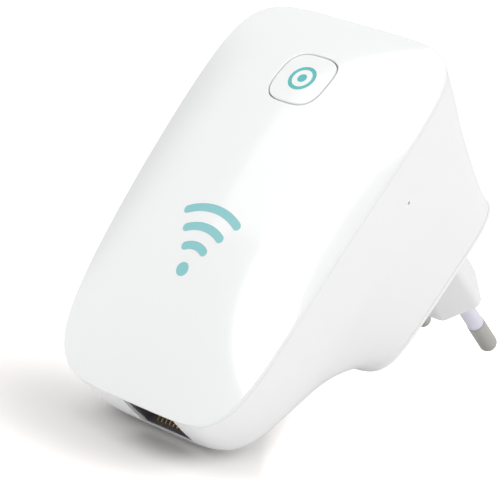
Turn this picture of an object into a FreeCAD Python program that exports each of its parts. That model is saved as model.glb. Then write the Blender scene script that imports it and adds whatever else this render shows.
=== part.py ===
import FreeCAD, Part
import math
import os
import Sketcher

V = FreeCAD.Vector
doc = FreeCAD.newDocument("wifi_range_extender")
dims = doc.addObject("Spreadsheet::Sheet", "dims")
dims.Label = "dims"

VAL = {}
ROW = [0]


def put(alias, value, note=""):
    """One named dimension in the sheet, in millimetres unless it is a ratio or a count."""
    ROW[0] += 1
    cell = "B%d" % ROW[0]
    dims.set("A%d" % ROW[0], note or alias)
    dims.set(cell, repr(value))
    dims.setAlias(cell, alias)
    VAL[alias] = float(value)
    return float(value)


# ---------------------------------------------------------------- main dimensions
# Frame: +Z up the wall, +Y into the wall, origin at the centre of the plug boss end face.
put("crease_depth", 62.88, "distance from origin plane to the crease at mid height")
put("crease_bow", 2.705, "how far the crease bows forward at mid height")
put("crease_tilt", 4.545, "lean of the face, top towards the room, over half the height")
put("face_centre", 23.28, "height of the face centre below the pin axis")
put("face_half", 43.42, "half height used by the face formulas")
put("dome_height", 5.7, "crown of the face above the crease")
put("dome_width", 27.6, "half width used by the crown")
put("dome_power_side", 2.2, "crown fall-off exponent across")
put("dome_power_end", 3.0, "crown fall-off exponent up and down")
put("outline_power_front", 5.45, "superellipse exponent at the face")
put("outline_power_back", 5.6, "superellipse exponent at the back")
put("outline_taper", 0.05, "widening towards the top at the face")
put("wall", 1.8, "side wall thickness")
put("cover_skin", 1.9, "front cover thickness")
put("cover_rim", 0.55, "height of the cover's visible edge")
put("seam", 0.12, "gap between cover and housing")
put("lip_reach", 4.6, "how far the cover's lip runs into the housing")
put("lip_wall", 1.2, "lip thickness")
put("lip_clear", 0.15, "lip clearance to the housing wall")
put("edge_round", 0.42, "rounding of the cover's outer edge")

STATIONS = [
    (-75.760, 29.891, 20.387, -66.691), (-70.240, 28.750, 20.378, -66.691),
    (-64.720, 27.572, 20.194, -66.691), (-59.200, 26.358, 19.890, -66.691),
    (-55.520, 25.521, 19.651, -66.691), (-51.840, 24.693, 19.302, -66.599),
    (-48.160, 23.846, 18.878, -66.314), (-45.400, 23.166, 18.593, -65.872),
    (-43.560, 22.669, 18.464, -65.044), (-41.720, 22.117, 18.345, -62.652),
    (-39.880, 21.528, 18.253, -58.788), (-37.120, 20.645, 18.106, -52.440),
    (-34.360, 19.854, 17.949, -47.104), (-31.600, 19.136, 17.774, -42.872),
    (-28.840, 18.446, 17.590, -39.376), (-26.080, 17.802, 17.452, -36.395),
    (-22.400, 17.011, 17.278, -32.982), (-18.720, 16.302, 17.186, -30.351),
    (-15.776, 15.824, 17.204, -28.888), (-11.360, 15.180, 17.222, -27.232),
]
for i, (sy, sa, st, sb) in enumerate(STATIONS):
    put("station%d_depth" % (i + 1), -sy, "station %d, depth in front of the origin" % (i + 1))
    put("station%d_half" % (i + 1), sa, "station %d, half width" % (i + 1))
    put("station%d_top" % (i + 1), st, "station %d, top height" % (i + 1))
    put("station%d_low" % (i + 1), -sb, "station %d, depth below the pin axis" % (i + 1))

put("back_front", 15.776, "back plate, front plane")
put("back_rear", 14.4, "back plate, rear plane")
put("back_half", 15.87, "back plate half width")
put("back_top", 17.43, "back plate top")
put("back_low", 28.7, "back plate bottom")
put("back_lip", 3.4, "back plate lip length")
put("boss_end_half", 15.8, "boss half width at its end face")
put("boss_end_rise", 6.8, "boss half height at its end face")
put("boss_base_half", 16.3, "boss half width at the plate")
put("boss_base_rise", 7.1, "boss half height at the plate")
put("boss_end_flat", 9.4, "half width of the boss's flats at its end face")
put("boss_base_flat", 9.7, "half width of the boss's flats at the plate")
put("boss_round", 2.0, "rounding of the boss's long edges")
put("boss_end_round", 1.9, "rounding round the boss's end face")
put("pin_spacing", 18.0, "spacing of the two pins")
put("pin_radius", 2.0, "pin radius at the bare tip")
put("pin_core", 1.5, "pin radius inside the sleeve")
put("pin_reach", 19.0, "pin length from the end face")
put("pin_inside", 22.0, "pin length behind the end face")
put("sleeve_reach", 9.6, "sleeve length outside the end face")
put("sleeve_inside", 4.0, "sleeve length inside the boss")
put("sleeve_radius", 1.83, "sleeve outer radius")

put("button_half_wide", 6.08, "button half width")
put("button_half_tall", 6.08, "button half height")
put("button_power", 3.1, "button outline exponent")
put("button_side", -0.22, "button centre to the side")
put("button_rise", 2.62, "button centre above the pin axis")
put("button_edge", 0.28, "rounding of the button's edge")
put("button_rim", 0.22, "rounding of the button opening")
put("button_gap", 0.22, "gap round the button")
put("button_skin", 1.8, "button cap thickness")
put("button_flange", 0.9, "button flange width")
put("button_travel", 0.35, "button travel")
put("motif_ring_out", 2.95, "ring motif outer radius")
put("motif_ring_in", 2.15, "ring motif inner radius")
put("motif_dot", 1.0, "dot motif radius")
put("motif_deep", 0.5, "motif inlay depth")

put("icon_stroke", 1.66, "width of the light bars")
put("icon_dot_radius", 1.38, "radius of the round light")
put("icon_dot_side", -0.32, "round light to the side")
put("icon_dot_low", 41.7, "round light below the pin axis")
put("arc_small_centre", 41.4, "small bar circle centre below the pin axis")
put("arc_small_radius", 4.65, "small bar circle radius")
put("arc_small_angle", 30.5, "small bar half angle")
put("arc_medium_centre", 41.85, "medium bar circle centre below the pin axis")
put("arc_medium_radius", 9.0, "medium bar circle radius")
put("arc_medium_angle", 28.6, "medium bar half angle")
put("arc_large_centre", 41.9, "large bar circle centre below the pin axis")
put("arc_large_radius", 13.05, "large bar circle radius")
put("arc_large_angle", 29.2, "large bar half angle")
put("icon_gap", 0.03, "gap round each light bar")
put("icon_rear", 59.1, "rear plane of the light bars")
put("baffle_clear", 0.3, "gap between baffle and cover")
put("baffle_rear", 59.2, "light baffle rear plane")

put("port_centre", 3.5, "socket centre to the right of the middle")
put("jack_half", 7.7, "half width of the socket body")
put("port_wall", 0.6, "wall left round the socket opening")
put("port_cut_half", 6.7, "half width of the cut in the housing")
put("port_cut_rear", 45.9, "rear edge of the cut in the housing")
put("pinhole_radius", 0.4, "reset hole radius")
put("pinhole_depth", 51.93, "reset hole in front of the origin plane")
put("pinhole_low", 7.27, "reset hole below the pin axis")
doc.recompute()


def D(alias):
    """Reads one dimension back out of the sheet."""
    return float(dims.get(alias))


# ---------------------------------------------------------------- free-form helpers
def outline(y, half, top, low, grow=0.0):
    """Closed superellipse-like outline across the object at depth y."""
    k = min(max((y + 70.24) / (70.24 - 14.4), 0.0), 1.0)
    n = D("outline_power_front") * (1 - k) + D("outline_power_back") * k
    taper = D("outline_taper") * (1 - k)
    pts = []
    count = 72
    for i in range(count):
        phi = 2 * math.pi * (i + 0.5) / count
        c, s = math.cos(phi), math.sin(phi)
        r = (abs(c) ** n + abs(s) ** n) ** (-1.0 / n)
        u, w = r * c, r * s
        x = (half + grow) * u * (1 + taper * w)
        z = (top + low) / 2.0 + ((top - low) / 2.0 + grow) * w
        pts.append(V(x, y, z))
    curve = Part.BSplineCurve()
    curve.interpolate(Points=pts, PeriodicFlag=True)
    return Part.Wire([curve.toShape()])


def body_loft(inset=0.0, first=0, last=None, end=None):
    """Solid through the stations, moved inwards square to the wall by inset."""
    rows = []
    n = len(STATIONS)
    for i in range(n):
        rows.append((-D("station%d_depth" % (i + 1)), D("station%d_half" % (i + 1)),
                     D("station%d_top" % (i + 1)), -D("station%d_low" % (i + 1))))
    wires = []
    for i, (y, a, t, b) in enumerate(rows):
        lo, hi = rows[max(i - 1, 0)], rows[min(i + 1, n - 1)]
        dy = hi[0] - lo[0]
        ka = math.hypot(1.0, (hi[1] - lo[1]) / dy)
        kt = math.hypot(1.0, (hi[2] - lo[2]) / dy)
        kb = math.hypot(1.0, (hi[3] - lo[3]) / dy)
        wires.append(outline(y, a - inset * ka, t - inset * kt, b + inset * kb))
    return Part.makeLoft(wires, True, False)


def face_depth(x, z):
    """Depth of the crowned face at (x, z)."""
    e = (z + D("face_centre")) / D("face_half")
    edge = -D("crease_depth") + D("crease_bow") * e * e - D("crease_tilt") * e
    u = abs(x) / D("dome_width")
    crown = (1 - u ** D("dome_power_side")) * (1 - abs(e) ** D("dome_power_end"))
    if u > 1 and abs(e) > 1:
        crown = -abs(crown)
    return edge - D("dome_height") * crown


def face_prism(deep=90.0):
    """Everything behind the face."""
    xs = [-33.5 + 67 * i / 16.0 for i in range(17)]
    zs = [-74 + 104 * i / 22.0 for i in range(23)]
    grid = [[V(x, face_depth(x, z), z) for z in zs] for x in xs]
    surf = Part.BSplineSurface()
    surf.interpolate(grid)
    return surf.toShape().extrude(V(0, deep, 0))


FACE_PRISM = []


def behind_face(shift):
    """Everything behind the face after moving it back by shift."""
    if not FACE_PRISM:
        FACE_PRISM.append(face_prism())
    s = FACE_PRISM[0].copy()
    s.translate(V(0, shift, 0))
    return s


def column(wire_pts_fn, y0, y1):
    """Prism along Y from a closed curve given as points in the XZ plane."""
    pts = [V(x, y0, z) for x, z in wire_pts_fn]
    curve = Part.BSplineCurve()
    curve.interpolate(Points=pts, PeriodicFlag=True)
    return Part.Face(Part.Wire([curve.toShape()])).extrude(V(0, y1 - y0, 0))


def squircle(cx, cz, hw, hh, n, count=48):
    out = []
    for i in range(count):
        phi = 2 * math.pi * (i + 0.5) / count
        c, s = math.cos(phi), math.sin(phi)
        r = (abs(c) ** n + abs(s) ** n) ** (-1.0 / n)
        out.append((cx + hw * r * c, cz + hh * r * s))
    return out


def stroke(cz, radius, half_angle, width, y0, y1, grow=0.0):
    """Round-ended arc bar centred on (0, cz), standing along Y from y0 to y1."""
    h = width / 2.0 + grow
    a = math.radians(half_angle)

    def pt(r, ang):
        return V(r * math.sin(ang), y0, cz + r * math.cos(ang))
    e0, e1 = pt(radius, -a), pt(radius, a)

    def cap(e, ang, sgn):
        # outermost point of the round end
        return V(e.x + sgn * h * math.cos(ang), y0, e.z - h * abs(math.sin(ang)) * (1 if sgn * ang > 0 else -1))
    edges = [
        Part.Arc(pt(radius + h, -a), pt(radius + h, 0), pt(radius + h, a)).toShape(),
        Part.Arc(pt(radius + h, a), cap(e1, a, 1), pt(radius - h, a)).toShape(),
        Part.Arc(pt(radius - h, a), pt(radius - h, 0), pt(radius - h, -a)).toShape(),
        Part.Arc(pt(radius - h, -a), cap(e0, -a, -1), pt(radius + h, -a)).toShape(),
    ]
    return Part.Face(Part.Wire(edges)).extrude(V(0, y1 - y0, 0))


def rod(x, z, r, y0, y1):
    return Part.makeCylinder(r, y1 - y0, V(x, y0, z), V(0, 1, 0))


def block(x0, x1, y0, y1, z0, z1):
    return Part.makeBox(x1 - x0, y1 - y0, z1 - z0, V(x0, y0, z0))


def single(shape):
    """The largest solid of a result, healed."""
    s = max(shape.Solids, key=lambda q: q.Volume)
    return s


NODES = []


def feature(label, shape):
    o = doc.addObject("Part::Feature", "F_" + label)
    o.Label = label
    o.Shape = shape
    o.Placement = FreeCAD.Placement(V(0, 0, 0), FreeCAD.Rotation(V(0, 0, 1), 0))
    NODES.append(o)
    return o


# ---------------------------------------------------------------- parametric helpers
ROT = {
    "front": FreeCAD.Rotation(V(1, 0, 0), 90),    # local z points to the room (-Y), local y up
    "up": FreeCAD.Rotation(V(0, 0, 1), 0),        # local z up
    "right": FreeCAD.Rotation(V(0, 1, 0), 90),    # local z to +X, local x down
    "down": FreeCAD.Rotation(V(1, 0, 0), 180),    # local z down
    "wall": FreeCAD.Rotation(V(1, 0, 0), -90),    # local z to the wall (+Y), local y down
}


def new_body(label, pos, rot="front"):
    b = doc.addObject("PartDesign::Body", "B_" + label)
    b.Label = label
    b.Placement = FreeCAD.Placement(V(*pos), ROT[rot])
    NODES.append(b)
    return b


def plane(b, role):
    for f in b.Origin.OriginFeatures:
        if f.Role == role:
            return f
    raise ValueError(role)


def new_sketch(b, role="XY_Plane"):
    s = b.newObject("Sketcher::SketchObject", "S_" + b.Label)
    s.AttachmentSupport = [(plane(b, role), "")]
    s.MapMode = "FlatFace"
    return s


def at_height(s, alias=None, value=0.0):
    s.AttachmentOffset = FreeCAD.Placement(V(0, 0, value), FreeCAD.Rotation(V(0, 0, 1), 0))
    if alias:
        s.setExpression("AttachmentOffset.Base.z", "dims." + alias)


def rect(s, wide, tall, cx=0.0, cy=0.0):
    """Rectangle with its size taken from two named dimensions."""
    w, t = D(wide), D(tall)
    x0, x1, y0, y1 = cx - w / 2, cx + w / 2, cy - t / 2, cy + t / 2
    n = s.GeometryCount
    p = [V(x0, y0, 0), V(x1, y0, 0), V(x1, y1, 0), V(x0, y1, 0)]
    for i in range(4):
        s.addGeometry(Part.LineSegment(p[i], p[(i + 1) % 4]), False)
    for i in range(4):
        s.addConstraint(Sketcher.Constraint("Coincident", n + i, 2, n + (i + 1) % 4, 1))
    s.addConstraint(Sketcher.Constraint("Horizontal", n))
    s.addConstraint(Sketcher.Constraint("Horizontal", n + 2))
    s.addConstraint(Sketcher.Constraint("Vertical", n + 1))
    s.addConstraint(Sketcher.Constraint("Vertical", n + 3))
    c = s.addConstraint(Sketcher.Constraint("DistanceX", n, 1, n, 2, w))
    s.setExpression("Constraints[%d]" % c, "dims." + wide)
    c = s.addConstraint(Sketcher.Constraint("DistanceY", n + 1, 1, n + 1, 2, t))
    s.setExpression("Constraints[%d]" % c, "dims." + tall)
    if abs(cx) < 1e-9 and abs(cy) < 1e-9:
        s.addConstraint(Sketcher.Constraint("Symmetric", n, 1, n + 1, 2, -1, 1))
    else:
        s.addConstraint(Sketcher.Constraint("DistanceX", -1, 1, n, 1, x0))
        s.addConstraint(Sketcher.Constraint("DistanceY", -1, 1, n, 1, y0))


def circle(s, radius, cx=0.0, cy=0.0):
    n = s.GeometryCount
    s.addGeometry(Part.Circle(V(cx, cy, 0), V(0, 0, 1), D(radius)), False)
    c = s.addConstraint(Sketcher.Constraint("Radius", n, D(radius)))
    s.setExpression("Constraints[%d]" % c, "dims." + radius)
    if abs(cx) < 1e-9 and abs(cy) < 1e-9:
        s.addConstraint(Sketcher.Constraint("Coincident", n, 3, -1, 1))
    else:
        if abs(cx) < 1e-9:
            s.addConstraint(Sketcher.Constraint("PointOnObject", n, 3, -2))
        else:
            s.addConstraint(Sketcher.Constraint("DistanceX", -1, 1, n, 3, cx))
        if abs(cy) < 1e-9:
            s.addConstraint(Sketcher.Constraint("PointOnObject", n, 3, -1))
        else:
            s.addConstraint(Sketcher.Constraint("DistanceY", -1, 1, n, 3, cy))


def profile(s, pts):
    """Closed polyline fixed by coordinates, for revolved shapes."""
    n = s.GeometryCount
    m = len(pts)
    for i in range(m):
        a, b = pts[i], pts[(i + 1) % m]
        s.addGeometry(Part.LineSegment(V(a[0], a[1], 0), V(b[0], b[1], 0)), False)
    for i in range(m):
        s.addConstraint(Sketcher.Constraint("Coincident", n + i, 2, n + (i + 1) % m, 1))
    for i in range(m):
        for axis, k in (("DistanceX", 0), ("DistanceY", 1)):
            s.addConstraint(Sketcher.Constraint(axis, -1, 1, n + i, 1, pts[i][k]))
    return n


def pad(b, s, alias):
    p = b.newObject("PartDesign::Pad", "P_" + b.Label)
    p.Profile = s
    p.Length = D(alias)
    p.setExpression("Length", "dims." + alias)
    s.Visibility = False
    b.Tip = p
    doc.recompute()
    return p


def pocket(b, s, alias, through=False):
    before = b.Shape.Volume
    p = b.newObject("PartDesign::Pocket", "K_" + b.Label)
    p.Profile = s
    if through:
        p.Type = "ThroughAll"
        p.Midplane = True
    else:
        p.Length = D(alias)
        p.setExpression("Length", "dims." + alias)
    b.Tip = p
    doc.recompute()
    if b.Shape.Volume > before - 1e-6:
        p.Reversed = True
        doc.recompute()
    if b.Shape.Volume > before - 1e-6:
        raise ValueError("pocket removed nothing in " + b.Label)
    return p


def revolve(b, s, axis="V_Axis"):
    r = b.newObject("PartDesign::Revolution", "R_" + b.Label)
    r.Profile = s
    r.ReferenceAxis = (s, [axis])
    r.Angle = 360
    b.Tip = r
    doc.recompute()
    return r


def round_edges(b, base, radius, pick):
    names = []
    for i, e in enumerate(base.Shape.Edges):
        if pick(e):
            names.append("Edge%d" % (i + 1))
    f = b.newObject("PartDesign::Fillet", "E_" + b.Label)
    f.Base = (base, names)
    f.Radius = D(radius)
    f.setExpression("Radius", "dims." + radius)
    b.Tip = f
    doc.recompute()
    return f


def upright(e):
    """Edges running along the body's own extrusion direction."""
    if len(e.Vertexes) != 2:
        return False
    d = e.Vertexes[1].Point - e.Vertexes[0].Point
    return abs(d.x) < 1e-6 and abs(d.y) < 1e-6 and abs(d.z) > 1e-3


# ---------------------------------------------------------------- case
SOLID_OUT = body_loft(0.0)
BEHIND0 = behind_face(0.0)
RIM = D("cover_rim")
OUTER = single(SOLID_OUT.common(BEHIND0))


def on_face(e):
    """True for the edge where the crowned face meets the side walls."""
    for k in range(6):
        q = e.valueAt(e.FirstParameter + (e.LastParameter - e.FirstParameter) * k / 5.0)
        if abs(q.y - face_depth(q.x, q.z)) > 0.02:
            return False
    return e.Length > 1


OUTER = single(OUTER.makeFillet(D("edge_round"), [e for e in OUTER.Edges if on_face(e)]))

rear_cut = block(-60, 60, -D("back_front"), 40, -120, 80)          # rear of the housing
px0, px1 = D("port_centre") - D("port_cut_half"), D("port_centre") + D("port_cut_half")
jx0, jx1 = D("port_centre") - D("jack_half") - 0.35, D("port_centre") + D("jack_half") + 0.35
outer_cover = OUTER.cut(behind_face(RIM))
lip_out = body_loft(D("wall") + D("lip_clear"))
lip_in = body_loft(D("wall") + D("lip_clear") + D("lip_wall"))
lip = lip_out.common(behind_face(RIM - 0.1)).cut(behind_face(D("lip_reach")))
cover = single(outer_cover.fuse(lip).cut(lip_in.common(behind_face(D("cover_skin")))))

# clearance cuts in the cover
btn_hole = column(squircle(D("button_side"), D("button_rise"), D("button_half_wide") + D("button_gap"),
                           D("button_half_tall") + D("button_gap"), D("button_power")), -86, -60)
cover = cover.cut(btn_hole)
hole_edges = []
for e in cover.Edges:
    on = True
    for k in range(5):
        q = e.valueAt(e.FirstParameter + (e.LastParameter - e.FirstParameter) * k / 4.0)
        on = on and abs(q.x) < 8 and -6 < q.z < 11 and abs(q.y - face_depth(q.x, q.z)) < 0.02
    if on:
        hole_edges.append(e)
cover = cover.makeFillet(D("button_rim"), hole_edges)
ICON = [
    ("icon_arc_small", "arc_small"), ("icon_arc_medium", "arc_medium"), ("icon_arc_large", "arc_large"),
]
for label, key in ICON:
    cover = cover.cut(stroke(-D(key + "_centre"), D(key + "_radius"), D(key + "_angle"), D("icon_stroke"),
                             -86, -60, D("icon_gap")))
cover = cover.cut(rod(D("icon_dot_side"), -D("icon_dot_low"), D("icon_dot_radius") + D("icon_gap"), -86, -60))
# the lip stops short of the socket, and the rim opens above it
cover = cover.cut(block(jx0, jx1, -90, -30, -76, -55).common(behind_face(D("cover_skin"))))
cover = cover.cut(block(px0, px1, -55.35, -30, -76, -60))
front_cover = feature("front_cover", single(cover))

inner = body_loft(D("wall"))
housing = OUTER.common(behind_face(RIM + D("seam")))
housing = housing.cut(rear_cut)
housing = housing.cut(inner)
housing = housing.cut(block(jx0, jx1, -90, -44.4, -76, -46).common(body_loft(D("port_wall"))))
port_cut = block(px0, px1, -90, -D("port_cut_rear"), -90, -60)
housing = housing.cut(port_cut)
housing = housing.cut(Part.makeCylinder(D("pinhole_radius"), 20, V(16, -D("pinhole_depth"), -D("pinhole_low")),
                                        V(1, 0, 0)))
housing = feature("housing", single(housing))

# back plate: rim, lip into the housing and four posts
put("plate_seam", 0.05, "gap between the housing and the back plate")
doc.recompute()
bf, br = -D("back_front") + D("plate_seam"), -D("back_rear")
w0 = outline(bf, D("back_half"), D("back_top"), -D("back_low"))
w1 = outline(br - 0.6, D("back_half") + 0.12, D("back_top") + 0.12, -D("back_low") - 0.12)
w2 = outline(br, D("back_half") - 0.45, D("back_top") - 0.45, -D("back_low") + 0.45)
plate = Part.makeLoft([w0, w1], True, True).fuse(Part.makeLoft([w1, w2], True, True))
lip_gap = D("wall") + 0.15
y_in = bf - D("back_lip")
la = Part.makeLoft([outline(y_in, 16.2 - lip_gap - 0.1, 17.15 - lip_gap, -30.2 + lip_gap + 0.5),
                    outline(bf + 0.2, 15.75 - lip_gap, 17.15 - lip_gap, -28.8 + lip_gap + 0.5)], True, True)
lb = Part.makeLoft([outline(y_in - 0.1, 16.2 - lip_gap - 1.4, 17.15 - lip_gap - 1.3, -30.2 + lip_gap + 1.9),
                    outline(bf - 0.001, 15.75 - lip_gap - 1.3, 17.15 - lip_gap - 1.3, -28.8 + lip_gap + 1.9)],
                   True, True)
plate = plate.fuse(la.cut(lb))
put("label_low", 18.6, "bare label field below the pin axis")
put("label_half_wide", 11.0, "bare label field half width")
put("label_half_tall", 6.2, "bare label field half height")
put("label_deep", 0.2, "bare label field depth")
put("post_side", 9.8, "post offset to each side")
put("post_high", 11.0, "upper posts above the pin axis")
put("post_deep", 21.0, "lower posts below the pin axis")
put("post_radius", 2.4, "post radius")
put("post_bore", 1.05, "post bore radius")
put("power_rear", 30.0, "power board rear plane")
put("power_front", 31.6, "power board front plane")
put("main_rear", 56.4, "main board rear plane")
put("main_front", 58.0, "main board front plane")
doc.recompute()
POSTS = [(sx * D("post_side"), sz) for sx in (-1, 1) for sz in (D("post_high"), -D("post_deep"))]
for x, z in POSTS:
    plate = plate.fuse(rod(x, z, D("post_radius"), -D("power_rear"), bf + 0.3))
for x, z in POSTS:
    plate = plate.cut(rod(x, z, D("post_bore"), -D("power_rear") - 1, -D("power_rear") + 9))
hp = D("pin_spacing") / 2
for sx in (-1, 1):
    plate = plate.cut(rod(sx * hp, 0, D("pin_core"), -60, 20))
plate = plate.removeSplitter()
label = column(squircle(0, -D("label_low"), D("label_half_wide"), D("label_half_tall"), 9.0), -D("back_rear") - D("label_deep"), 0)
plate = plate.cut(label)
back_plate = feature("back_plate", single(plate))


# plug boss: six-sided plug body, wider at the plate
def lozenge(y, half, flat, rise):
    pts = [V(half, y, 0), V(flat, y, rise), V(-flat, y, rise), V(-half, y, 0), V(-flat, y, -rise), V(flat, y, -rise)]
    return Part.makePolygon(pts + [pts[0]])


boss = Part.makeLoft([lozenge(-D("back_rear"), D("boss_base_half"), D("boss_base_flat"), D("boss_base_rise")),
                      lozenge(0.0, D("boss_end_half"), D("boss_end_flat"), D("boss_end_rise"))], True, True)
long_edges = [e for e in boss.Edges if abs(e.Vertexes[0].Y - e.Vertexes[1].Y) > 10]
boss = boss.makeFillet(D("boss_round"), long_edges)
end_edges = [e for e in boss.Edges if all(abs(v.Y) < 1e-4 for v in e.Vertexes)]
boss = boss.makeFillet(D("boss_end_round"), end_edges)
for sx in (-1, 1):
    boss = boss.cut(rod(sx * hp, 0, D("pin_core"), -30, 5))
    boss = boss.cut(rod(sx * hp, 0, D("sleeve_radius"), -D("sleeve_inside"), 5))
plug_boss = feature("plug_boss", single(boss))

# ---------------------------------------------------------------- pins and sleeves
for label, sx in (("pin_left", -1), ("pin_right", 1)):
    b = new_body(label, (sx * hp, 0, 0), "up")
    b.setExpression("Placement.Base.x", "%d * dims.pin_spacing / 2" % sx)
    s = new_sketch(b)
    L, R, C, S, I = D("pin_reach"), D("pin_radius"), D("pin_core"), D("sleeve_reach"), D("pin_inside")
    pts = [(0, -I), (C - 0.3, -I), (C, -I + 0.3), (C, S), (R, S), (R, L - 1.7), (0, L)]
    n = s.GeometryCount
    for a_, b_ in zip(pts[:5], pts[1:6]):
        s.addGeometry(Part.LineSegment(V(a_[0], a_[1], 0), V(b_[0], b_[1], 0)), False)
    drop = 1.7
    ball = (R * R / drop + drop) / 2.0
    half = (math.asin((ball - drop) / ball) + math.pi / 2) / 2.0
    mid = V(ball * math.cos(half), L - ball + ball * math.sin(half), 0)
    s.addGeometry(Part.Arc(V(R, L - 1.7, 0), mid, V(0, L, 0)), False)
    s.addGeometry(Part.LineSegment(V(0, L, 0), V(0, -I, 0)), False)
    for i in range(4):
        s.addConstraint(Sketcher.Constraint("Coincident", n + i, 2, n + i + 1, 1))
    s.addConstraint(Sketcher.Constraint("Coincident", n + 6, 2, n, 1))
    c = s.addConstraint(Sketcher.Constraint("DistanceX", -1, 1, n + 2, 1, C))
    s.setExpression("Constraints[%d]" % c, "dims.pin_core")
    c = s.addConstraint(Sketcher.Constraint("DistanceY", -1, 1, n + 2, 2, S))
    s.setExpression("Constraints[%d]" % c, "dims.sleeve_reach")
    s.addConstraint(Sketcher.Constraint("Vertical", n + 2))
    c = s.addConstraint(Sketcher.Constraint("DistanceX", -1, 1, n + 4, 1, R))
    s.setExpression("Constraints[%d]" % c, "dims.pin_radius")
    s.addConstraint(Sketcher.Constraint("Horizontal", n + 3))
    s.addConstraint(Sketcher.Constraint("Vertical", n + 4))
    doc.recompute()
    revolve(b, s)

put("sleeve_length", D("sleeve_reach") + D("sleeve_inside"), "sleeve length")
put("sleeve_bore", 1.51, "sleeve bore radius")
doc.recompute()
for label, sx in (("sleeve_left", -1), ("sleeve_right", 1)):
    b = new_body(label, (sx * hp, -D("sleeve_inside"), 0), "wall")
    s = new_sketch(b)
    circle(s, "sleeve_radius")
    p = pad(b, s, "sleeve_length")
    s = new_sketch(b)
    circle(s, "sleeve_bore")
    pocket(b, s, None, True)

# ---------------------------------------------------------------- button and its motif
bw, bh, bn, bz = D("button_half_wide"), D("button_half_tall"), D("button_power"), D("button_rise")
bx = D("button_side")
cap = OUTER.common(column(squircle(bx, bz, bw, bh, bn), -86, -60)).cut(behind_face(D("button_skin") + 1.7))
cap = single(cap)
cap = single(cap.makeFillet(D("button_edge"), [e for e in cap.Edges if on_face(e)]))
fl = column(squircle(bx, bz, bw + D("button_flange"), bh + D("button_flange"), bn), -86, -60)
fl = fl.common(behind_face(D("cover_skin") + 0.12)).cut(behind_face(D("cover_skin") + 1.1))
stem_front = -63.0
button = cap.fuse(single(fl))
button = button.fuse(rod(0, bz, 2.0, -67.4, stem_front - 0.03))
button = button.fuse(block(-4.2, 4.2, -66.8, -63.9, bz - 0.5, bz + 0.5))
button = button.fuse(block(-0.5, 0.5, -66.8, -63.9, bz - 4.2, bz + 4.2))
near = behind_face(D("motif_deep"))
ring = rod(bx, bz, D("motif_ring_out"), -86, -60).cut(rod(bx, bz, D("motif_ring_in"), -87, -59))
dot = rod(bx, bz, D("motif_dot"), -86, -60)
motif = OUTER.common(ring.fuse(dot)).cut(near)
motif_hole = rod(bx, bz, D("motif_ring_out") + 0.01, -86, -60).cut(rod(bx, bz, D("motif_ring_in") - 0.01, -87, -59))
motif_hole = motif_hole.fuse(rod(bx, bz, D("motif_dot") + 0.01, -86, -60)).cut(behind_face(D("motif_deep") + 0.01))
button = single(button.cut(motif_hole).removeSplitter())
feature("wps_button", button)
feature("button_motif", Part.makeCompound(motif.Solids))

# ---------------------------------------------------------------- light bars
for label, key in ICON:
    bar = stroke(-D(key + "_centre"), D(key + "_radius"), D(key + "_angle"), D("icon_stroke"), -86, -D("icon_rear"))
    feature(label, single(OUTER.common(bar)))
feature("icon_dot", single(OUTER.common(rod(D("icon_dot_side"), -D("icon_dot_low"), D("icon_dot_radius"), -86, -D("icon_rear")))))

baf = block(-10.6, 10.6, -80, -D("baffle_rear"), -45.4, -25.6)
baf = baf.makeFillet(1.0, [e for e in baf.Edges if abs(e.Vertexes[0].Y - e.Vertexes[-1].Y) > 4])
baf = baf.common(behind_face(D("cover_skin") + D("baffle_clear")))
for label, key in ICON:
    baf = baf.cut(stroke(-D(key + "_centre"), D(key + "_radius"), D(key + "_angle"), D("icon_stroke"), -86, -50, 0.05))
baf = baf.cut(rod(D("icon_dot_side"), -D("icon_dot_low"), D("icon_dot_radius") + 0.05, -86, -50))
feature("light_baffle", single(baf))

# ---------------------------------------------------------------- main board and what it carries
put("board_thick", 1.6, "board thickness")
put("main_wide", 39.0, "main board width")
put("main_tall", 66.0, "main board height")
put("main_middle", -20.0, "main board centre height")
put("board_corner", 2.0, "board corner radius")
put("screw_hole", 1.35, "board screw hole radius")
doc.recompute()
mb = new_body("main_board", (0, -D("main_rear"), D("main_middle")), "front")
mb.setExpression("Placement.Base.z", "dims.main_middle")
s = new_sketch(mb)
rect(s, "main_wide", "main_tall")
p = pad(mb, s, "board_thick")
p = round_edges(mb, p, "board_corner", upright)
s = new_sketch(mb)
for x, z in POSTS:
    circle(s, "screw_hole", x, z - D("main_middle"))
pocket(mb, s, None, True)

put("power_wide", 28.4, "power board width")
put("power_tall", 40.8, "power board height")
put("power_middle", -6.0, "power board centre height")
put("tail_hole", 0.8, "terminal tail hole radius")
doc.recompute()
pb = new_body("power_board", (0, -D("power_rear"), D("power_middle")), "front")
pb.setExpression("Placement.Base.z", "dims.power_middle")
s = new_sketch(pb)
rect(s, "power_wide", "power_tall")
p = pad(pb, s, "board_thick")
p = round_edges(pb, p, "board_corner", upright)
s = new_sketch(pb)
for x, z in POSTS:
    circle(s, "screw_hole", x, z - D("power_middle"))
pocket(pb, s, None, True)


def simple_block(label, w, t, d, pos, rot="front", corner=None, top=None):
    """Rectangular piece standing on the plane through pos, sizes in the sheet."""
    put(label + "_wide", w)
    put(label + "_tall", t)
    put(label + "_deep", d)
    if corner:
        put(label + "_corner", corner)
    if top:
        put(label + "_edge", top)
    doc.recompute()
    b = new_body(label, pos, rot)
    sk = new_sketch(b)
    rect(sk, label + "_wide", label + "_tall")
    q = pad(b, sk, label + "_deep")
    if corner:
        q = round_edges(b, q, label + "_corner", upright)
    if top:
        zt = D(label + "_deep")
        q = round_edges(b, q, label + "_edge",
                        lambda e: all(abs(v.Z - zt) < 1e-6 for v in e.Vertexes))
    return b


MR, MF = -D("main_rear"), -D("main_front")
PR, PF = -D("power_rear"), -D("power_front")

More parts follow.
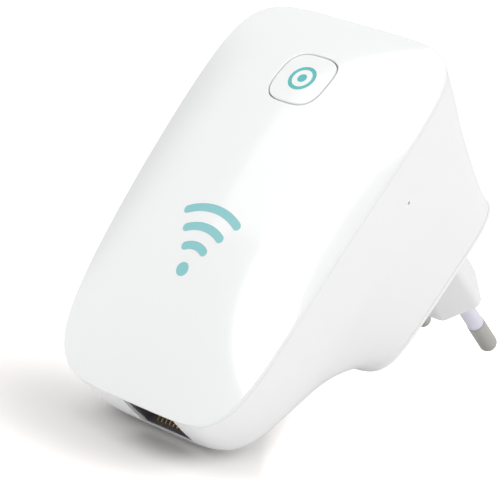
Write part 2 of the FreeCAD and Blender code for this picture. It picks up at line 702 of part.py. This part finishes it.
# status lights on the front of the main board
led = []
for x, z in ((0, -41.7), (0, -36.75), (0, -32.85), (0, -28.85)):
    o = doc.addObject("Part::Box", "led_box")
    o.Length, o.Width, o.Height = 1.6, 0.9, 0.8
    o.Placement = FreeCAD.Placement(V(x - 0.8, MF - 0.9 - 0.02, z - 0.4), FreeCAD.Rotation(V(0, 0, 1), 0))
    led.append(o)
put("light_long", 1.6)
put("light_deep", 0.9)
put("light_tall", 0.8)
doc.recompute()
for o in led:
    o.setExpression("Length", "dims.light_long")
    o.setExpression("Width", "dims.light_deep")
    o.setExpression("Height", "dims.light_tall")
comp = doc.addObject("Part::Compound", "status_leds_group")
comp.Label = "status_leds"
comp.Links = led
NODES.append(comp)

# push switch behind the button: body and moving stem
simple_block("wps_switch_body", 6.0, 6.0, 3.5, (0, MF, bz), "front", 0.6)
wps_body = NODES[-1]
put("stem_bore", 1.72)
put("stem_bore_deep", 2.2)
doc.recompute()
s = new_sketch(wps_body)
at_height(s, "wps_switch_body_deep")
circle(s, "stem_bore")
pocket(wps_body, s, "stem_bore_deep")
put("stem_radius", 1.65)
put("stem_long", 3.0)
doc.recompute()
b = new_body("wps_switch_stem", (0, -60.0, bz), "front")
s = new_sketch(b)
circle(s, "stem_radius")
p = pad(b, s, "stem_long")

# reset switch on the rear of the main board, stem pointing at the side wall
RY, RZ = -D("pinhole_depth"), -D("pinhole_low")
put("reset_body_wide", 3.5)
put("reset_body_tall", 6.0)
put("reset_body_deep", 7.4)
put("reset_body_x", 16.6)
doc.recompute()
b = new_body("reset_switch_body", (D("reset_body_x"), MR + 7.4, RZ), "front")
s = new_sketch(b)
rect(s, "reset_body_wide", "reset_body_tall")
p = pad(b, s, "reset_body_deep")
put("reset_bore", 1.62)
put("reset_stem", 1.55)
put("reset_stem_long", 5.2)
put("reset_bore_deep", 2.0)
doc.recompute()
s = b.newObject("Sketcher::SketchObject", "S_reset_bore")
s.AttachmentSupport = [(plane(b, "YZ_Plane"), "")]
s.MapMode = "FlatFace"
s.AttachmentOffset = FreeCAD.Placement(V(0, 0, D("reset_body_wide") / 2), FreeCAD.Rotation(V(0, 0, 1), 0))
circle(s, "reset_bore", 0.0, MR + 7.4 - RY)
pocket(b, s, "reset_bore_deep")
b = new_body("reset_switch_stem", (16.7, RY, RZ), "right")
s = new_sketch(b)
circle(s, "reset_stem")
pad(b, s, "reset_stem_long")

# radio can, chips and magnetics on the rear of the main board
can = simple_block("radio_shield", 17.4, 14.0, 2.4, (-7.6, MR + 2.4, -7.0), "front", 0.8)
put("can_inner_wide", 17.0)
put("can_inner_tall", 13.6)
put("can_inner_deep", 2.2)
doc.recompute()
s = new_sketch(can)
at_height(s, None, 2.4)
rect(s, "can_inner_wide", "can_inner_tall")
pocket(can, s, "can_inner_deep")
simple_block("radio_chip", 8.0, 8.0, 0.9, (-8.4, MR + 0.9, -7.0), "front")
simple_block("memory_chip", 5.2, 5.0, 1.6, (8.2, MR + 1.6, -11.5), "front")
simple_block("network_transformer", 12.5, 7.0, 4.2, (3.85, MR + 4.2, -34.5), "front", 0.5)

# network socket: body with its cavity and the contact wires
put("jack_wide", 2 * D("jack_half"))
put("jack_low", 65.75, "socket mouth below the pin axis")
put("nose_wide", 12.7, "width of the socket nose in the opening")
put("nose_tall", 8.6, "depth of the socket nose, front to rear")
put("nose_long", 1.2, "height of the socket nose")
put("jack_middle", 50.6, "socket centre in front of the origin plane")
put("cavity_wide", 11.9)
put("cavity_tall", 6.75)
put("cavity_deep", 13.35)
put("latch_wide", 6.4)
put("latch_tall", 1.45)
put("latch_deep", 10.5)
doc.recompute()
jb = new_body("rj45_socket", (D("port_centre"), -D("jack_middle"), -D("jack_low")), "up")
s = new_sketch(jb, "YZ_Plane")
jm, jl = D("jack_middle"), D("jack_low")
profile(s, [(y + jm, z + jl) for y, z in ((-54.1, -65.0), (-46.9, -65.0), (-44.9, -63.1), (-44.9, -48.4),
                                          (-56.3, -48.4), (-56.3, -61.2))])
p = jb.newObject("PartDesign::Pad", "P_jack")
p.Profile = s
p.Length = D("jack_wide")
p.setExpression("Length", "dims.jack_wide")
p.Midplane = True
jb.Tip = p
doc.recompute()
s = new_sketch(jb)
rect(s, "nose_wide", "nose_tall", 0.0, -50.5 + jm)
pad(jb, s, "nose_long")
s = new_sketch(jb)
rect(s, "cavity_wide", "cavity_tall", 0.0, -50.075 + jm)
pocket(jb, s, "cavity_deep")
s = new_sketch(jb)
rect(s, "latch_wide", "latch_tall", 0.0, -54.1 + jm)
pocket(jb, s, "latch_deep")
contacts = []
for i in range(8):
    x = D("port_centre") + (i - 3.5) * 1.02
    y0 = -46.74
    leg = block(x - 0.17, x + 0.17, y0 - 0.3, y0, -65.05, -52.6)
    tip = Part.makePolygon([V(x - 0.17, y0, -65.05), V(x - 0.17, y0 - 0.35, -65.05), V(x - 0.17, y0 - 2.0, -57.6),
                            V(x - 0.17, y0 - 1.65, -57.5), V(x - 0.17, y0, -64.4), V(x - 0.17, y0, -65.05)])
    spring = Part.Face(tip).extrude(V(0.34, 0, 0))
    contacts.append(single(leg.fuse(spring).removeSplitter()))
feature("rj45_contacts", Part.makeCompound(contacts))

# antennas: folded strips standing on the main board
for label, sx in (("antenna_left", -1), ("antenna_right", 1)):
    a1 = block(17.6, 17.9, MR, -43.4, -0.6, 11.4)
    a2 = block(17.5, 18.0, -51.6, -45.0, 2.2, 9.2)
    foot = block(15.4, 17.9, MR, MR + 0.3, 1.6, 4.6)
    ant = a1.cut(a2).fuse(foot).removeSplitter()
    if sx < 0:
        ant = ant.mirror(V(0, 0, 0), V(1, 0, 0))
    feature(label, single(ant))

# ---------------------------------------------------------------- power board parts
simple_block("transformer_core", 15.0, 5.6, 13.0, (4.9, PF - 0.9, -5.2), "front", 0.4)
core = NODES[-1]
put("window_wide", 10.4)
put("window_tall", 9.4)
doc.recompute()
s = core.newObject("Sketcher::SketchObject", "S_window")
s.AttachmentSupport = [(plane(core, "XZ_Plane"), "")]
s.MapMode = "FlatFace"
rect(s, "window_wide", "window_tall", 0.0, 6.5)
pocket(core, s, None, True)
simple_block("transformer_coil", 10.0, 12.4, 9.0, (4.9, PF - 2.9, -5.2), "front", 1.2)

for name, items in (("bulk_capacitors", ((-9.0, 3.7), (-9.0, -5.3))), ("output_capacitors", ((10.0, 5.2), (3.9, 5.2)))):
    put(name + "_radius", 4.3 if name[0] == "b" else 2.6)
    put(name + "_long", 14.0 if name[0] == "b" else 10.0)
    doc.recompute()
    cyl = []
    for x, z in items:
        o = doc.addObject("Part::Cylinder", name + "_can")
        o.Radius = D(name + "_radius")
        o.Height = D(name + "_long")
        o.setExpression("Radius", "dims." + name + "_radius")
        o.setExpression("Height", "dims." + name + "_long")
        o.Placement = FreeCAD.Placement(V(x, PF, z), FreeCAD.Rotation(V(1, 0, 0), 90))
        cyl.append(o)
    comp = doc.addObject("Part::Compound", name + "_group")
    comp.Label = name
    comp.Links = cyl
    NODES.append(comp)

simple_block("bridge_rectifier", 4.8, 6.4, 2.6, (-9.0, PF, -13.6), "front", 0.3)
simple_block("optocoupler", 6.4, 4.6, 3.4, (1.5, PF, -15.0), "front", 0.3)
put("fuse_radius", 2.0)
put("fuse_long", 8.0)
put("fuse_edge", 0.7)
put("choke_radius", 3.4)
put("choke_long", 6.5)
put("disc_radius", 3.6)
put("disc_long", 2.8)
put("flange_radius", 3.6)
put("flange_long", 1.0)
doc.recompute()
b = new_body("fuse_resistor", (-4.6, PF - 2.05, -21.6), "right")
s = new_sketch(b)
circle(s, "fuse_radius")
p = pad(b, s, "fuse_long")
p = round_edges(b, p, "fuse_edge", lambda e: True)
b = new_body("choke", (9.6, PF, -15.1), "front")
s = new_sketch(b)
circle(s, "choke_radius")
p = pad(b, s, "choke_long")
put("choke_neck", 2.5)
doc.recompute()
s = b.newObject("Sketcher::SketchObject", "S_choke_neck")
s.AttachmentSupport = [(plane(b, "XZ_Plane"), "")]
s.MapMode = "FlatFace"
profile(s, [(2.5, 1.3), (4.5, 1.3), (4.5, 5.2), (2.5, 5.2)])
g = b.newObject("PartDesign::Groove", "G_choke")
g.Profile = s
g.ReferenceAxis = (s, ["V_Axis"])
g.Angle = 360
b.Tip = g
doc.recompute()
b = new_body("safety_capacitor", (0.0, PF - 4.2, 11.0), "up")
s = b.newObject("Sketcher::SketchObject", "S_disc")
s.AttachmentSupport = [(plane(b, "XY_Plane"), "")]
s.MapMode = "FlatFace"
circle(s, "disc_radius")
pad(b, s, "disc_long")

# spacers between the boards, their studs, and the screws on top
put("spacer_radius", 2.3)
put("spacer_long", D("main_rear") - D("power_front"))
put("spacer_bore", 1.05)
put("stud_radius", 1.0)
put("stud_long", 6.0)
put("screw_head", 2.2)
put("screw_head_high", 1.4)
put("screw_shank", 1.0)
put("screw_long", 7.0)
doc.recompute()
parts_spacer, parts_screw = [], []
for x, z in POSTS:
    hexa = Part.makePolygon([V(x + 2.5 * math.cos(math.radians(60 * k)), PF, z + 2.5 * math.sin(math.radians(60 * k)))
                             for k in range(7)])
    body = Part.Face(hexa).extrude(V(0, -D("spacer_long"), 0))
    body = body.cut(rod(x, z, D("spacer_bore"), MR - 1, MR + 7.5))
    body = body.fuse(rod(x, z, D("stud_radius"), PF - 0.5, PF + D("stud_long")))
    parts_spacer.append(single(body.removeSplitter()))
    head = Part.makeCylinder(D("screw_head"), D("screw_head_high"), V(x, MF, z), V(0, -1, 0))
    head = head.makeFillet(0.6, [e for e in head.Edges if abs(e.BoundBox.YMin - (MF - D("screw_head_high"))) < 1e-4
                                 and abs(e.BoundBox.YMax - (MF - D("screw_head_high"))) < 1e-4])
    head = head.cut(block(x - 1.2, x + 1.2, MF - 2, MF - 0.7, z - 0.25, z + 0.25))
    head = head.cut(block(x - 0.25, x + 0.25, MF - 2, MF - 0.7, z - 1.2, z + 1.2))
    head = head.fuse(rod(x, z, D("screw_shank"), MF - 0.2, MF + D("screw_long")))
    parts_screw.append(single(head.removeSplitter()))
feature("board_spacers", Part.makeCompound(parts_spacer))
feature("board_screws", Part.makeCompound(parts_screw))

# strip of pins joining the boards
strip = block(-6.9, 5.8, PF - 2.5, PF, -26.6, -24.3)
feature("link_header", strip)
link = []
for i in range(5):
    x = -5.6 + 2.54 * i
    link.append(block(x - 0.32, x + 0.32, MR, PF - 2.5, -25.77, -25.13))
feature("link_pins", Part.makeCompound(link))

# mains terminals: strips pressed on the inner pin ends, tails into the power board
term = []
for sx in (-1, 1):
    x = sx * hp
    st = block(x - 2.4, x + 2.4, -21.2, -20.2, -2.6, 2.6).cut(rod(x, 0, D("pin_core"), -40, 0))
    tail = block(x - 1.0, x + 1.0, PR, -20.7, -2.6, -1.9)
    term.append(single(st.fuse(tail).removeSplitter()))
feature("pin_terminals", Part.makeCompound(term))

doc.recompute()

# ---------------------------------------------------------------- checks and export
for o in doc.Objects:
    bad = [w for w in getattr(o, "State", []) if w in ("Invalid", "Error")]
    if bad:
        raise RuntimeError("%s is %s" % (o.Label, bad))
os.makedirs("parts", exist_ok=True)
for o in NODES:
    shp = o.Shape
    if shp.isNull() or not shp.isValid():
        raise RuntimeError("bad shape in " + o.Label)
    if not shp.Solids:
        raise RuntimeError("no solid in " + o.Label)
    bb = shp.BoundBox
    print("%-20s solids %d vol %9.2f  x %.2f..%.2f y %.2f..%.2f z %.2f..%.2f" % (
        o.Label, len(shp.Solids), shp.Volume, bb.XMin, bb.XMax, bb.YMin, bb.YMax, bb.ZMin, bb.ZMax))
    shp.exportStep("parts/%s.step" % o.Label)
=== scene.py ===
import bpy
import math
from mathutils import Matrix, Vector

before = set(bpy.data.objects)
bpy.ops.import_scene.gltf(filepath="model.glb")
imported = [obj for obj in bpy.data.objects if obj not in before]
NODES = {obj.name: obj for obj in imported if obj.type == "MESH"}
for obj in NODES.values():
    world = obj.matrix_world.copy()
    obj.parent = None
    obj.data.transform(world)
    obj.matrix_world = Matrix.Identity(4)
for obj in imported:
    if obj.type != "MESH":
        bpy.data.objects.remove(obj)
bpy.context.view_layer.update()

# ------------------------------------------------------------------ materials


def srgb(r, g, b):
    def f(c):
        c = c / 255.0
        return c / 12.92 if c <= 0.04045 else ((c + 0.055) / 1.055) ** 2.4
    return (f(r), f(g), f(b), 1.0)


def plastic(name, color, rough=0.3, var=0.02, scale=60.0, bump=0.0, bump_scale=900.0, coat=0.0, coat_rough=0.05,
            metal=0.0, ior=1.46, spec=0.5, drift=0.03):
    """Principled surface whose tone and gloss drift a little over the piece."""
    m = bpy.data.materials.new(name)
    m.use_nodes = True
    nt = m.node_tree
    b = nt.nodes["Principled BSDF"]
    co = nt.nodes.new("ShaderNodeTexCoord")
    nz = nt.nodes.new("ShaderNodeTexNoise")
    nz.inputs["Scale"].default_value = scale
    nz.inputs["Detail"].default_value = 3.0
    nt.links.new(co.outputs["Object"], nz.inputs["Vector"])
    ramp = nt.nodes.new("ShaderNodeMix")
    ramp.data_type = "RGBA"
    lo = tuple(max(0.0, c * (1 - var)) for c in color[:3]) + (1,)
    hi = tuple(min(1.0, c * (1 + var)) for c in color[:3]) + (1,)
    ramp.inputs[6].default_value = lo
    ramp.inputs[7].default_value = hi
    nt.links.new(nz.outputs["Fac"], ramp.inputs[0])
    nt.links.new(ramp.outputs[2], b.inputs["Base Color"])
    mr = nt.nodes.new("ShaderNodeMapRange")
    mr.inputs["To Min"].default_value = max(0.02, rough - drift)
    mr.inputs["To Max"].default_value = rough + drift
    nt.links.new(nz.outputs["Fac"], mr.inputs["Value"])
    nt.links.new(mr.outputs["Result"], b.inputs["Roughness"])
    b.inputs["Metallic"].default_value = metal
    b.inputs["IOR"].default_value = ior
    b.inputs["Specular IOR Level"].default_value = spec
    b.inputs["Coat Weight"].default_value = coat
    b.inputs["Coat Roughness"].default_value = coat_rough
    if bump > 0:
        n2 = nt.nodes.new("ShaderNodeTexNoise")
        n2.inputs["Scale"].default_value = bump_scale
        n2.inputs["Detail"].default_value = 4.0
        nt.links.new(co.outputs["Object"], n2.inputs["Vector"])
        bp = nt.nodes.new("ShaderNodeBump")
        bp.inputs["Strength"].default_value = bump
        bp.inputs["Distance"].default_value = 0.0001
        nt.links.new(n2.outputs["Fac"], bp.inputs["Height"])
        nt.links.new(bp.outputs["Normal"], b.inputs["Normal"])
    return m


M = {
    "cover": plastic("cover_white", srgb(246, 247, 247), 0.16, 0.002, coat=0.4, coat_rough=0.06, drift=0.0),
    "housing": plastic("housing_white", srgb(245, 245, 245), 0.3, 0.002, drift=0.0),
    "back": plastic("back_white", srgb(248, 248, 248), 0.32, 0.002, bump=0.02, drift=0.0),
    "boss": plastic("plug_white", srgb(242, 242, 242), 0.34, 0.01, bump=0.05),
    "sleeve": plastic("sleeve_white", srgb(228, 227, 240), 0.4, 0.01),
    "pin": plastic("pin_metal", srgb(190, 188, 183), 0.32, 0.04, scale=300, metal=1.0),
    "button": plastic("button_white", srgb(246, 247, 247), 0.16, 0.002, coat=0.4, coat_rough=0.06, drift=0.0),
    "teal": plastic("teal_print", srgb(82, 186, 183), 0.35, 0.02),
    "light": plastic("teal_light", srgb(140, 203, 206), 0.3, 0.02),
    "baffle": plastic("baffle_black", srgb(30, 30, 31), 0.6, 0.1, bump=0.2),
    "board": plastic("board_green", srgb(22, 92, 52), 0.35, 0.08, scale=250, coat=0.3),
    "power": plastic("board_tan", srgb(186, 150, 96), 0.5, 0.08, scale=250),
    "lens": plastic("led_lens", srgb(236, 238, 214), 0.2, 0.02),
    "painted_floor_colour": plastic("switch_grey", srgb(62, 62, 66), 0.5, 0.08),
    "black": plastic("stem_black", srgb(26, 26, 28), 0.45, 0.1),
    "tin": plastic("tin_plate", srgb(196, 198, 200), 0.3, 0.03, scale=400, metal=1.0, bump=0.05),
    "chip": plastic("chip_black", srgb(34, 34, 36), 0.55, 0.08, bump=0.15),
    "socket": plastic("socket_black", srgb(88, 83, 88), 0.42, 0.05),
    "gold": plastic("gold_wire", srgb(242, 216, 156), 0.3, 0.04, metal=1.0),
    "ferrite": plastic("ferrite", srgb(52, 50, 50), 0.65, 0.12, bump=0.3),
    "tape": plastic("coil_tape", srgb(222, 178, 52), 0.35, 0.05),
    "can": plastic("can_sleeve", srgb(30, 34, 48), 0.25, 0.05),
    "blue": plastic("cap_blue", srgb(40, 92, 168), 0.3, 0.05),
    "fuse": plastic("fuse_body", srgb(120, 136, 104), 0.45, 0.06),
    "steel": plastic("steel", srgb(188, 190, 192), 0.3, 0.04, metal=1.0, scale=300),
    "brass": plastic("brass_strip", srgb(196, 162, 92), 0.3, 0.05, metal=1.0, scale=300),
}
USE = {
    "front_cover": "cover", "housing": "housing", "back_plate": "back", "plug_boss": "boss", "pin_left": "pin",
    "pin_right": "pin", "sleeve_left": "sleeve", "sleeve_right": "sleeve", "wps_button": "button",
    "button_motif": "teal", "icon_dot": "light", "icon_arc_small": "light", "icon_arc_medium": "light",
    "icon_arc_large": "light", "light_baffle": "baffle", "main_board": "board", "power_board": "power",
    "status_leds": "lens", "wps_switch_body": "painted_floor_colour", "wps_switch_stem": "black", "reset_switch_body": "painted_floor_colour",
    "reset_switch_stem": "black", "radio_shield": "tin", "radio_chip": "chip", "memory_chip": "chip",
    "network_transformer": "chip", "rj45_socket": "socket", "rj45_contacts": "gold", "antenna_left": "tin",
    "antenna_right": "tin", "transformer_core": "ferrite", "transformer_coil": "tape", "bulk_capacitors": "can",
    "output_capacitors": "can", "bridge_rectifier": "chip", "optocoupler": "chip", "fuse_resistor": "fuse",
    "choke": "ferrite", "safety_capacitor": "blue", "board_spacers": "steel", "board_screws": "steel",
    "link_header": "chip", "link_pins": "gold", "pin_terminals": "brass",
}
for name, obj in NODES.items():
    obj.data.materials.clear()
    obj.data.materials.append(M[USE.get(name, "chip")])

# ------------------------------------------------------------------ stage
# The unit lies on its pin tips and on the lower rear edge of its housing.
RIGHT = Vector((0.732174, 0.410592, 0.543447))
DOWN = Vector((0.268112, 0.559722, -0.784109))
AHEAD = Vector((-0.626128, 0.719810, 0.299729))
CAM_AT = Vector((0.315669, -0.416127, -0.179243))
LENS_PX = 2611.33
# image point where the painted shadow pool on the sheet is centred
PAINTED_SHADE_AT = (95.0, 419.0)
PIN_TIP = Vector((0.0, 0.0190, -0.0013))
HEEL = Vector((0.0, -0.0431, -0.06504))
along = (HEEL - PIN_TIP).normalized()
n = Vector((0.0, along.z, -along.y))
if n.z < 0:
    n = -n
floor_at = PIN_TIP - n * 0.0006
floor_mat = bpy.data.materials.new("floor_white_painted_shade")
floor_mat.use_nodes = True
nt = floor_mat.node_tree
for nd in list(nt.nodes):
    if nd.type != "OUTPUT_MATERIAL":
        nt.nodes.remove(nd)
out = [nd for nd in nt.nodes if nd.type == "OUTPUT_MATERIAL"][0]
# white sweep: camera rays see a painted tone, with painted light lifting most of the sheet past white and a
# painted shadow pool; other rays see plain paper white, so it bounces no more light than paper does
sheet_white = nt.nodes.new("ShaderNodeBsdfDiffuse")
sheet_white.inputs["Color"].default_value = (0.9, 0.9, 0.9, 1)
painted_floor_tone = nt.nodes.new("ShaderNodeBsdfDiffuse")


def floor_math(op, a, b=None):
    nd = nt.nodes.new("ShaderNodeMath")
    nd.operation = op
    for i, v in enumerate((a, b)):
        if v is None:
            continue
        if isinstance(v, (int, float)):
            nd.inputs[i].default_value = v
        else:
            nt.links.new(v, nd.inputs[i])
    return nd.outputs[0]


def floor_along(direction, origin):
    """Distance over the sheet from the centre of the painted shadow pool, counted in one direction."""
    pos = nt.nodes.new("ShaderNodeNewGeometry")
    sub = nt.nodes.new("ShaderNodeVectorMath")
    sub.operation = "SUBTRACT"
    sub.inputs[1].default_value = tuple(origin)
    nt.links.new(pos.outputs["Position"], sub.inputs[0])
    dot = nt.nodes.new("ShaderNodeVectorMath")
    dot.operation = "DOT_PRODUCT"
    dot.inputs[1].default_value = tuple(direction)
    nt.links.new(sub.outputs[0], dot.inputs[0])
    return dot.outputs["Value"]


def smooth(value, lo, hi, out_lo, out_hi):
    nd = nt.nodes.new("ShaderNodeMapRange")
    nd.interpolation_type = "SMOOTHSTEP"
    nd.inputs["From Min"].default_value = lo
    nd.inputs["From Max"].default_value = hi
    nd.inputs["To Min"].default_value = out_lo
    nd.inputs["To Max"].default_value = out_hi
    nt.links.new(value, nd.inputs["Value"])
    return nd.outputs["Result"]


# painted light and shade on the sheet, seen only by the camera: painted brightest on the right and behind, and
# darkest in a painted shadow pool in front of the unit's foot
ray = AHEAD + RIGHT * ((PAINTED_SHADE_AT[0] - 250.0) / LENS_PX) + DOWN * ((PAINTED_SHADE_AT[1] - 250.0) / LENS_PX)
painted_shade_spot = CAM_AT + ray * ((floor_at - CAM_AT).dot(n) / ray.dot(n))
side_way = floor_along(RIGHT, painted_shade_spot)
down_way = floor_math("SUBTRACT", floor_along(DOWN, painted_shade_spot), floor_math("MULTIPLY", side_way, 0.26))
painted_shade_reach = floor_math("SQRT", floor_math("ADD",
                                  floor_math("POWER", floor_math("ABSOLUTE", floor_math("DIVIDE", side_way, 0.030)), 2.0),
                                  floor_math("POWER", floor_math("ABSOLUTE", floor_math("DIVIDE", down_way, 0.0085)), 2.0)))
# painted shade: darkest in an oval pool round the painted shade spot; painted light: the sheet pushed past
# white towards the right, so no shade shows there
painted_light_and_shade = floor_math("MAXIMUM", smooth(painted_shade_reach, 0.15, 1.5, 0.80, 1.26), smooth(side_way, 0.024, 0.042, 0.5, 2.2))
painted_floor_colour = nt.nodes.new("ShaderNodeCombineColor")
# the painted shade is tinted warm; where the painted tone is past white it clips to white
for i, painted_tone_warmth in enumerate((1.0, 0.98, 0.965)):
    nt.links.new(floor_math("MULTIPLY", painted_light_and_shade, painted_tone_warmth), painted_floor_colour.inputs[i])
nt.links.new(painted_floor_colour.outputs[0], painted_floor_tone.inputs["Color"])
# camera rays see the painted light and shade, all other rays the plain 0.9 sheet
path = nt.nodes.new("ShaderNodeLightPath")
camera_sees_painted = nt.nodes.new("ShaderNodeMixShader")
nt.links.new(path.outputs["Is Camera Ray"], camera_sees_painted.inputs[0])
nt.links.new(sheet_white.outputs[0], camera_sees_painted.inputs[1])
nt.links.new(painted_floor_tone.outputs[0], camera_sees_painted.inputs[2])
geo = nt.nodes.new("ShaderNodeNewGeometry")
tr = nt.nodes.new("ShaderNodeBsdfTransparent")
mx = nt.nodes.new("ShaderNodeMixShader")
nt.links.new(geo.outputs["Backfacing"], mx.inputs[0])
nt.links.new(camera_sees_painted.outputs[0], mx.inputs[1])
nt.links.new(tr.outputs[0], mx.inputs[2])
nt.links.new(mx.outputs[0], out.inputs["Surface"])
bpy.ops.mesh.primitive_plane_add(size=6.0)
floor = bpy.context.object
floor.name = "floor"
floor.data.materials.append(floor_mat)
x_ax = Vector((1, 0, 0))
y_ax = n.cross(x_ax)
floor.matrix_world = Matrix.Translation(floor_at) @ Matrix((x_ax, y_ax, n)).transposed().to_4x4()

world = bpy.data.worlds.new("studio")
bpy.context.scene.world = world
world.use_nodes = True
wn = world.node_tree
bg = wn.nodes["Background"]
bg.inputs[0].default_value = (1, 1, 1, 1)
# a dark flag stands off to the left, as in a studio, and draws the left edge of the face
look = wn.nodes.new("ShaderNodeTexCoord")
toward = wn.nodes.new("ShaderNodeVectorMath")
toward.operation = "DOT_PRODUCT"
toward.inputs[1].default_value = (-0.93, 0.22, 0.29)
wn.links.new(look.outputs["Generated"], toward.inputs[0])
flag = wn.nodes.new("ShaderNodeMapRange")
flag.interpolation_type = "SMOOTHSTEP"
flag.inputs["From Min"].default_value = 0.80
flag.inputs["From Max"].default_value = 0.96
flag.inputs["To Min"].default_value = 0.73
flag.inputs["To Max"].default_value = 0.05
wn.links.new(toward.outputs["Value"], flag.inputs["Value"])
wn.links.new(flag.outputs["Result"], bg.inputs[1])
bg2 = wn.nodes.new("ShaderNodeBackground")
bg2.inputs[0].default_value = (1, 1, 1, 1)
bg2.inputs[1].default_value = 1.0
lp = wn.nodes.new("ShaderNodeLightPath")
wm = wn.nodes.new("ShaderNodeMixShader")
wn.links.new(lp.outputs["Is Camera Ray"], wm.inputs[0])
wn.links.new(bg.outputs[0], wm.inputs[1])
wn.links.new(bg2.outputs[0], wm.inputs[2])
wn.links.new(wm.outputs[0], wn.nodes["World Output"].inputs["Surface"])


def softbox(name, at, to, size, power, size_y=None):
    d = bpy.data.lights.new(name, "AREA")
    d.shape = "RECTANGLE"
    d.size = size
    d.size_y = size_y or size
    d.energy = power
    o = bpy.data.objects.new(name, d)
    bpy.context.scene.collection.objects.link(o)
    o.location = at
    o.rotation_euler = (Vector(to) - Vector(at)).to_track_quat("-Z", "Y").to_euler()
    return o


CENTRE = Vector((0.0, -0.040, -0.023))

def away(v, d):
    return CENTRE + Vector(v).normalized() * d


softbox("key", away((-0.30, -0.82, 0.46), 0.9), CENTRE, 0.62, 2.5, 0.8)
softbox("low", away((0.35, -0.60, -0.70), 1.0), CENTRE, 0.5, 0.45)
softbox("top", away((0.62, 0.05, 0.78), 1.0), CENTRE, 0.5, 1.7)
softbox("right", away((0.97, -0.18, 0.05), 0.9), CENTRE, 0.4, 0.45)
strip = softbox("strip", away((-0.10, -0.985, 0.14), 0.8), CENTRE, 0.30, 5.0, 0.9)
strip.visible_diffuse = False

cam_d = bpy.data.cameras.new("camera")
cam = bpy.data.objects.new("camera", cam_d)
bpy.context.scene.collection.objects.link(cam)
cam_d.sensor_width = 36.0
cam_d.lens = 188.016
cam_d.clip_start = 0.01
cam_d.clip_end = 20
cam.matrix_world = Matrix.Translation(CAM_AT) @ Matrix((RIGHT, -DOWN, -AHEAD)).transposed().to_4x4()
bpy.context.scene.camera = cam
bpy.context.scene.view_settings.view_transform = "Standard"
